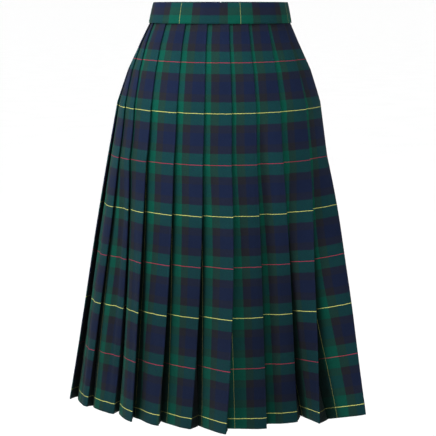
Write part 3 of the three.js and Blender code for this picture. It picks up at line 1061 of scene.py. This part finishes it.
class Row:
    """One level of a panel, laid out column by column in the order of growing angle."""

    def __init__(self, piece: "PleatedPiece", at: float) -> None:
        """Lay out the level.

        Args:
            piece: the panel.
            at: distance below the waist seam.
        """
        self.piece, self.at = piece, at
        self.pleating = pleating = piece.falls.pleating
        self.level, self.section = pleating.level(at), pleating.body.section(at)
        self.radius = pleating.layer / 2
        turned = smooth((at - pleating.length + piece.hem_turning + 1) * 2)
        self.thick = piece.cloth / 2 + piece.hem_cloth / 2 * turned
        self.shift = -piece.taper * (1 - clamp(at / pleating.hip, 0, 1)) ** 2
        self.opened = pleating.opened(at)
        # how wide the painted shade beside each recess is at this level
        self.shade_width = mix(*piece.shade_widths, self.opened**piece.shade_curve)
        self.columns: list[Column] = []
        for k in range(piece.start, piece.stop + 1):
            if k > piece.start:
                self.add_return(k)
            self.add_panel(k)

    def fall(self, kind: str, k: int) -> float:
        """Return a fold's fall, which counts below the hip only."""
        return self.piece.falls.at_fold(kind, k, self.at) if self.at > self.pleating.hip else 0.0

    def edge_across(self, k: int) -> float:
        """Return how far across the cloth an outer fold lies."""
        return k * self.pleating.repeat + self.shift + self.pleating.shift_of(k, self.at)

    def shade(self, k: int) -> tuple[float, float]:
        """Return how wide and how dark the painted shade beside a fold's recess is."""
        strip = self.pleating.pleats[k % len(self.pleating.pleats)].shade
        return strip * self.shade_width, min(1.0, strip)

    def fan(self, first: complex, last: complex, middle: complex) -> list[complex]:
        """Fan normals evenly round a fold.

        Args:
            first: the normal where the fold starts.
            last: the normal where it ends.
            middle: the normal halfway round.

        Returns:
            One normal for each of the fold's columns.
        """
        normals = []
        for i in range(self.piece.fold_columns + 1):
            share = 2 * i / self.piece.fold_columns
            a, b = (first, middle) if share <= 1 else (middle, last)
            normals.append(unit(a + (b - a) * (share if share <= 1 else share - 1)))
        return normals

    def add(self, column: Column) -> None:
        """Add a column, curled in by a soft fold edge, with painted shade if the pleats are open.

        Args:
            column: the column as it lies flat, with its full painted shade.
        """
        outwards = self.section.out_at(self.section.angle_of(column.place))
        column.place -= outwards * self.piece.curl(self.at, abs(column.from_fold))
        # the painted shade fades out where the pleats lie shut
        column.hidden *= min(1.0, 2 * self.opened)
        self.columns.append(column)

    def add_return(self, k: int) -> None:
        """Add the outer fold before, the return under it and the inner fold.

        Args:
            k: number of the fold that the return belongs to.
        """
        before, fold = self.level[k - 1], self.level[k]
        before_fall, inner_fall = self.fall("outer", k - 1), self.fall("inner", k)
        # the fold edge, its return and the inner fold get painted shade, as dark as the fold's
        # strip
        before_across, dark = self.edge_across(k - 1), self.shade(k)[1]
        arriving = heading(before.on_panel(self.piece.edge_from), before.on_panel(1))
        back = heading(fold.on_return(0), fold.on_return(1))
        leaving = heading(fold.on_panel(0), fold.on_panel(fold.under))
        for n, normal in enumerate(self.fan(-1j * arriving, -1j * back, unit(arriving - back))):
            turned = 2 * n / self.piece.fold_columns - 1
            away = turned * self.radius
            across, painted_shade = before_across + away, dark * max(0.0, turned)
            self.add(
                Column(before.outer, normal, before_fall, self.radius, across, away, painted_shade)
            )
        for share in self.piece.on_returns:
            away = share * fold.length
            drop = mix(before_fall, inner_fall, share)
            place = fold.on_return(share)
            self.add(Column(place, -1j * back, drop, 0, before_across + away, away, dark))
        across = before_across + fold.length
        for normal in self.fan(-1j * back, -1j * leaving, unit(leaving - back)):
            self.add(Column(fold.inner, normal, inner_fall, -self.radius, across, UNWORN, dark))

    def add_panel(self, k: int) -> None:
        """Add a fold's panel, from its inner fold to its own edge, or up to a seam.

        Args:
            k: the fold's number.
        """
        piece, pleating, fold = self.piece, self.pleating, self.level[k]
        inner_fall, outer_fall = self.fall("inner", k), self.fall("outer", k)
        panel_length = pleating.repeat - fold.length
        # width and strength of the painted shade beside this fold's recess
        strip, dark = self.shade(k)
        seam = piece.seam_at * fold.under
        shares = [share * fold.under for share in piece.on_hidden]
        if k == piece.start:
            shares = [seam, *(share for share in shares if share > seam)]
        if k == piece.stop:
            shares = [*(share for share in shares if share < seam), seam]
        else:
            count = piece.visible_columns
            shares += [mix(fold.under, 1, n / count) for n in range(count)]
        # the hidden part takes up the difference of two folds' shifts
        uneven = pleating.shift_of(k - 1, self.at) - pleating.shift_of(k, self.at)
        for share in shares:
            place = fold.on_panel(share)
            ahead = fold.on_panel(min(share + piece.nearby, 1))
            way = heading(fold.on_panel(share - piece.nearby), ahead)
            if share == seam:
                place += way * piece.seam_gap / 2 * (1 if k == piece.start else -1)
            away = (1 - share) * panel_length
            across = self.edge_across(k) - away + uneven * max(0.0, 1 - share / fold.under)
            drop = mix(inner_fall, outer_fall, share)
            past = (share - fold.under) * panel_length
            # painted shade on the panel beside the recess, fading out across the strip
            painted_shade = dark * (1 - smooth(past / strip - piece.shade_held))
            self.add(Column(place, -1j * way, drop, 0, across, away, painted_shade))


@dataclass
class PleatedPiece:
    """A panel of the skirt, from one hidden seam to the next."""

    name: str
    start: int
    stop: int
    falls: Falls
    drape: Drape
    cloth: float = 0.9
    tuck: float = 11
    seam_gap: float = 0.3
    band_height: float = 36
    taper: float = 8.5
    hem_turning: float = 28
    hem_cloth: float = 0.5
    on_returns: tuple[float, ...] = (0.12, 0.3, 0.6, 0.85)
    on_hidden: tuple[float, ...] = (0.2, 0.6)
    seam_at: float = 0.5
    nearby: float = 0.02
    edge_from: float = 0.9
    visible_columns: int = 13
    fold_columns: int = 4
    curl_depth: float = 2.4
    curl_width: float = 15
    curl_from: float = 215
    curl_over: float = 380
    # the painted shade beside each recess: its width shut and open, how it widens, and how much
    # stays full
    shade_widths: tuple[float, float] = (1, 13)
    shade_curve: float = 1.5
    shade_held: float = 0.2

    def rows(self) -> list[float]:
        """Return the levels of its rows, from the tucked top to the hem."""
        steps = round(self.falls.pleating.length / self.falls.step)
        return [-self.tuck, -self.tuck / 2, *(i * self.falls.step for i in range(steps + 1))]

    def curl(self, at: float, away: float) -> float:
        """Return how far in a soft fold edge turns, some way along the cloth from it."""
        deep = self.curl_depth * smooth((at - self.curl_from) / self.curl_over)
        return deep * max(0.0, 1 - away / self.curl_width) ** 2

    def build(self, material: bpy.types.Material) -> bpy.types.Object:
        """Build the piece as a closed thin wall.

        Args:
            material: the tartan.

        Returns:
            The piece, declared to the frame.
        """
        points, cloth_map, wear_and_shade_map = [], [], []
        rows = self.rows()
        width = 0
        for at in rows:
            row = Row(self, at)
            width = len(row.columns)
            section = self.drape.body.section(at)
            for c in row.columns:
                angle = section.angle_of(c.place)
                here = c.place + section.out_at(angle) * self.drape.lift(angle, at)
                drop = c.fallen
                if at <= self.falls.pleating.hip:
                    drop = self.falls.over_hip(at, c.place)
                for out in (c.grow + row.thick, c.grow - row.thick):
                    place = here + c.normal * out
                    points.append((place.real, place.imag, -self.band_height - drop))
                    cloth_map.append((c.across, at))
                    # distance from the fold edge, for wear, and the share of painted shade
                    wear_and_shade_map.append((c.from_fold, c.hidden))
        maps = {"cloth": cloth_map, "wear_and_shade": wear_and_shade_map}
        faces = wall(len(rows), width)
        piece = make_object(f"{self.name}_cloth", points, faces, maps, material)
        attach(piece, "skirt")
        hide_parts(self.name)
        return piece


# ---------------------------------------------------------------- waistband
@dataclass
class Waistband:
    """The folded band: solid at the top, and a wall on each side of the pleats below."""

    pleating: Pleating
    height: float = 36
    wall: float = 1.2
    top_width: float = 4.6
    edge: float = 1.5
    fork: float = 0.5
    tuck: float = 12
    cloth: float = 1.1
    seam_gap: float = 0.3
    opening: float = 1.8
    step: float = 1.5
    puff: float = 0.5
    lip: float = 0.5
    nick: float = 0.2
    edge_parts: int = 5
    ripples: tuple[Wave, ...] = (Wave(7, 0.8, 0, 0.25), Wave(17, 0, 0, 0.15))

    @property
    def outside(self) -> float:
        """Return how far the band's right side stands out of the section."""
        return self.cloth / 2 + self.seam_gap + self.wall

    @property
    def inside(self) -> float:
        """Return how far in the wrong side of its inner wall lies, below zero."""
        return -self.pleating.stack_depth(self.cloth) - self.seam_gap - self.wall

    def outline(self) -> list[tuple[float, float, float]]:
        """Draw the band's section.

        Returns:
            Points as distance out, height, and distance down the cloth on its map.
        """
        out, high = self.outside, self.height
        top_in, back = out - self.top_width, self.inside
        fork = self.tuck + self.fork - high
        bottom = -high + self.lip
        points = [(out - self.lip, -high, high + 0.4), (out, bottom, high)]
        for i in range(1, 10):
            share = i / 10
            puffed = out + self.puff * math.sin(math.pi * share) ** 0.6
            up, down = mix(bottom, -self.edge, share), mix(high, self.edge, share)
            points.append((puffed, up, down))
        r = self.edge
        turns = [math.pi / 2 * i / self.edge_parts for i in range(self.edge_parts + 1)]
        for turn in turns:
            up = r * math.sin(turn)
            points.append((out - r + r * math.cos(turn), up - r, r - up))
        for i, turn in enumerate(turns):
            points.append((top_in + r - r * math.sin(turn), r * math.cos(turn) - r, -2 - i * 0.4))
        inner, outer, half = back + self.wall, out - self.wall, mix(fork, -high, 0.5)
        for x, z in (
            (top_in, fork + self.top_width),
            (mix(top_in, back, 0.5), fork + mix(self.top_width, self.wall, 0.5)),
            (back, fork + self.wall),
            (back, half),
            (back + self.nick, -high),
            (inner - self.nick, -high),
            (inner, half),
            (inner, fork),
            (outer, fork),
            (outer, half),
            (outer, -high),
        ):
            points.append((x, z, -z))
        return points

    def place(self, angle: float, out: float, z: float) -> tuple[float, float, float]:
        """Return a point of the band, by angle, distance out of the body and height."""
        place = self.pleating.body.section(-z - self.height).place(angle, out)
        return place.real, place.imag, z

    def build(self, material: bpy.types.Material) -> bpy.types.Object:
        """Build the band.

        Args:
            material: its tartan.

        Returns:
            The band, declared to the frame.
        """
        outline = self.outline()
        outline.append(outline[0][:2] + (outline[-1][2],))
        around = len(outline)
        middle = self.pleating.body.section(-self.height / 2)
        half = math.degrees(self.opening / 2 / self.pleating.body.section(0).half_width)
        steps = round(360 / self.step)
        points, cloth_map, faces = [], [], []
        before = half - 180
        along = -middle.arc(before, 0, 90)
        for i in range(steps + 1):
            angle = mix(half - 180, 180 - half, i / steps)
            along += middle.arc(before, angle, 2)
            before = angle
            ripple = sum(wave.rise(angle) for wave in self.ripples)
            for out, z, down in outline:
                if out > 0:
                    out += ripple * math.sin(math.pi * clamp(-z / self.height, 0, 1))
                points.append(self.place(angle, out, z))
                cloth_map.append((along, down))
        for i in range(steps):
            for j in range(around - 1):
                a, b = i * around + j, (i + 1) * around + j
                faces.append((a, b, b + 1, a + 1))
        faces.append(tuple(range(around - 1)))
        faces.append(tuple(steps * around + j for j in reversed(range(around - 1))))
        # the band gets no worn edge and no painted shade
        maps = {"cloth": cloth_map, "wear_and_shade": [(UNWORN, 0.0)] * len(points)}
        band = make_object("waistband_cloth", points, faces, maps, material)
        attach(band, "skirt")
        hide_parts("waistband")
        return band


# ---------------------------------------------------------------- zip
@dataclass
class Zip:
    """The concealed zip at the centre back, closed, with its pull tab hanging."""

    band: Waistband
    falls: Falls
    tape_width: float = 22
    tape: float = 0.8
    behind: float = 0.75
    top: float = 14.6
    bottom: float = 150
    tooth_pitch: float = 1.5
    tooth_width: float = 3.2
    tooth_height: float = 1.1
    tooth_thickness: float = 0.92
    tooth_lean: float = 0.35
    tooth_rings: tuple[tuple[float, float], ...] = ((-1, 0.5), (-0.55, 1), (0.55, 1), (1, 0.5))
    metal_edge: float = 0.28
    flat_angle: float = 0.03
    sharp_angle: float = math.radians(40)

    def path(self) -> list[tuple[float, float]]:
        """Trace the tape down the inside of the centre back.

        Returns:
            Points of its right side as depth and height, about a pitch apart.
        """
        band, body = self.band, self.band.pleating.body
        near = band.top_width - band.outside + self.behind
        far = -band.inside + self.behind
        fork = band.height - band.tuck - band.fork
        marks = [
            (self.top - band.height, near),
            (fork - band.top_width - 1 - band.height, near),
            (fork - band.wall - band.height, far),
            *((at, far) for at in (0, 40, 90)),
            (self.bottom, far + 1),
        ]
        corners = []
        for at, inside in marks:
            y = body.section(at).back - inside
            corners.append((y, -band.height - self.falls.over_hip(at, complex(0, y))))
        points = []
        for (y0, z0), (y1, z1) in zip(corners, corners[1:]):
            parts = max(1, round(math.hypot(y1 - y0, z1 - z0) / self.tooth_pitch))
            points += [(mix(y0, y1, i / parts), mix(z0, z1, i / parts)) for i in range(parts)]
        return [*points, corners[-1]]

    def build_tape(self, material: bpy.types.Material) -> bpy.types.Object:
        """Build the tape.

        Args:
            material: the woven tape.

        Returns:
            The tape, declared to the frame.
        """
        points, cloth_map = [], []
        path = self.path()
        half, parts = self.tape_width / 2, 8
        ring = [(mix(half, -half, i / parts), 0.0) for i in range(parts + 1)]
        ring += [(x, -self.tape) for x, _ in reversed(ring)]
        run = 0.0
        for i, (y, z) in enumerate(path):
            run += math.dist(path[i - 1], (y, z)) if i else 0
            for x, inside in ring:
                points.append((x, y + inside, z))
                cloth_map.append((x, run))
        faces = tube(0, len(path), len(ring))
        tape = make_object("zip_tape_cloth", points, faces, {"cloth": cloth_map}, material)
        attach(tape, "skirt")
        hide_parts("zip_tape")
        return tape

    def build_coil(self, material: bpy.types.Material) -> bpy.types.Object:
        """Build the closed coil: one rounded loop for each tooth, on the tape's wrong side.

        Args:
            material: the coil's finish.

        Returns:
            The coil.
        """
        points, faces = [], []
        half, high, around = self.tooth_width / 2, self.tooth_height / 2, 8
        thick = self.tooth_thickness * self.tooth_pitch / 2
        for n, (y, z) in enumerate(self.path()[1:-1]):
            lean = self.tooth_lean if n % 2 else -self.tooth_lean
            start = len(points)
            for across, size in self.tooth_rings:
                for k in range(around):
                    turn = 2 * math.pi * k / around
                    back = y - self.tape - high + high * size * math.cos(turn)
                    up = z + thick * size * math.sin(turn) + lean * across
                    points.append((across * half, back, up))
            faces += [face[::-1] for face in tube(start, len(self.tooth_rings), around)]
        coil = make_object("zip_coil", points, faces, {}, material)
        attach(coil, "skirt")
        return coil

    def build_metal(self, node: str, body: str, material: bpy.types.Material) -> bpy.types.Object:
        """Build a metal part from its plain solid, with rounded edges.

        Args:
            node: the plain part's node.
            body: the body that it rides on.
            material: the enamel.

        Returns:
            The part, declared to the frame.
        """
        plain = bpy.data.objects[node]
        mesh = bmesh.new()
        mesh.from_mesh(plain.data)
        mesh.transform(plain.matrix_world)
        bmesh.ops.remove_doubles(mesh, verts=mesh.verts, dist=1e-7)
        flat = {"angle_limit": self.flat_angle, "verts": mesh.verts, "edges": mesh.edges}
        bmesh.ops.dissolve_limit(mesh, **flat)
        made = bpy.data.meshes.new(f"{node}_metal")
        mesh.to_mesh(made)
        mesh.free()
        made.materials.append(material)
        part = bpy.data.objects.new(f"{node}_metal", made)
        bpy.context.scene.collection.objects.link(part)
        bevel = part.modifiers.new("rounded", "BEVEL")
        bevel.width, bevel.segments, bevel.limit_method = self.metal_edge * MM, 3, "ANGLE"
        bevel.angle_limit = self.sharp_angle
        made.shade_smooth()
        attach(part, body)
        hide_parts(node)
        return part


# ---------------------------------------------------------------- studio
@dataclass(frozen=True)
class Studio:
    """Pale floor, soft light and the camera."""

    camera: tuple[float, float, float] = (0.0, -3.0, 0.02)
    target: tuple[float, float, float] = (-0.0045, 0.0, -0.3825)
    pixels_per_unit: float = 1695 / 436
    floor_z: float = -1.05
    brightest: tuple[float, float, float] = (-0.6, -0.5, 0.62)
    dome_range: tuple[float, float] = (0.12, 0.96)
    dome_strength: tuple[float, float] = (0.3, 2.1)
    key: tuple[float, float, float] = (-1.4, -1.5, 1.3)
    key_aim: tuple[float, float, float] = (0.0, 0.0, -0.36)
    key_size: float = 0.8
    key_power: float = 31
    film: float = 36

    def build(self) -> None:
        """Build the floor, the lights and the camera."""
        scene = bpy.context.scene
        bpy.ops.mesh.primitive_plane_add(size=600, location=(0, 100, self.floor_z))
        floor = bpy.context.object
        floor.name = "floor"
        g = Graph("pale_floor")
        patches = g.fit(g.noise(3, 3), 0.3, 0.7)
        tone = g.blend(patches, linear(248, 248, 248), linear(250, 250, 250))
        floor.data.materials.append(g.finish(Base_Color=tone, Roughness=0.9))
        world = bpy.data.worlds.new("studio")
        scene.world = world
        world.use_nodes = True
        self._light_dome(world)
        light = bpy.data.lights.new("key", "AREA")
        light.size, light.energy = self.key_size, self.key_power
        self._stand("key", light, self.key, self.key_aim)
        scene.view_settings.view_transform = "Standard"
        lens = bpy.data.cameras.new("camera")
        lens.sensor_width = self.film
        lens.lens = self.film * self.pixels_per_unit
        scene.camera = self._stand("camera", lens, self.camera, self.target)

    def _light_dome(self, world: bpy.types.World) -> None:
        """Light the world as a soft dome, bright at the upper left and dim at the right.

        Args:
            world: the scene's world.
        """
        tree = world.node_tree
        sky = tree.nodes["Background"]
        place = tree.nodes.new("ShaderNodeTexCoord")
        towards = tree.nodes.new("ShaderNodeVectorMath")
        towards.operation = "DOT_PRODUCT"
        towards.inputs[1].default_value = self.brightest
        spread = tree.nodes.new("ShaderNodeMapRange")
        for number, value in enumerate((*self.dome_range, *self.dome_strength), 1):
            spread.inputs[number].default_value = value
        tree.links.new(place.outputs["Generated"], towards.inputs[0])
        tree.links.new(towards.outputs["Value"], spread.inputs[0])
        tree.links.new(spread.outputs[0], sky.inputs["Strength"])
        sky.inputs["Color"].default_value = (1, 1, 1, 1)

    def _stand(
        self,
        name: str,
        data: bpy.types.ID,
        place: tuple[float, float, float],
        aim: tuple[float, float, float],
    ) -> bpy.types.Object:
        """Stand a light or a camera somewhere, turned to face a point.

        Args:
            name: its name.
            data: the light or the camera.
            place: where it stands.
            aim: the point that it faces.

        Returns:
            Its object.
        """
        stood = bpy.data.objects.new(name, data)
        bpy.context.scene.collection.objects.link(stood)
        stood.location = place
        way = Vector(aim) - Vector(place)
        stood.rotation_euler = way.to_track_quat("-Z", "Y").to_euler()
        return stood


def main() -> None:
    """Build the skirt piece by piece and report each one."""
    logging.basicConfig(level=logging.INFO, format="%(name)s: %(message)s")
    pleating = Pleating()
    falls = Falls(pleating)
    drape = Drape()
    tartan = Tartan("tartan_twill")
    cloth = tartan.material()
    panels = (("skirt_front", 1, 12), ("skirt_back_left", 12, 18), ("skirt_back_right", 18, 23))
    band = Waistband(pleating)
    band_cloth = replace(tartan, name="waistband_twill", line_across=34, line_down=41.5)
    zipper = Zip(band, falls)
    enamel = Enamel().material()
    for piece in (
        *(PleatedPiece(*panel, falls, drape).build(cloth) for panel in panels),
        band.build(band_cloth.material()),
        zipper.build_tape(Tape().material()),
        zipper.build_coil(enamel),
        zipper.build_metal("zip_slider", "skirt", enamel),
        zipper.build_metal("zip_pull_tab", "pull_tab", enamel),
    ):
        log.info("%s: %d faces", piece.name, len(piece.data.polygons))
    Studio().build()


if __name__ == "__main__":
    main()
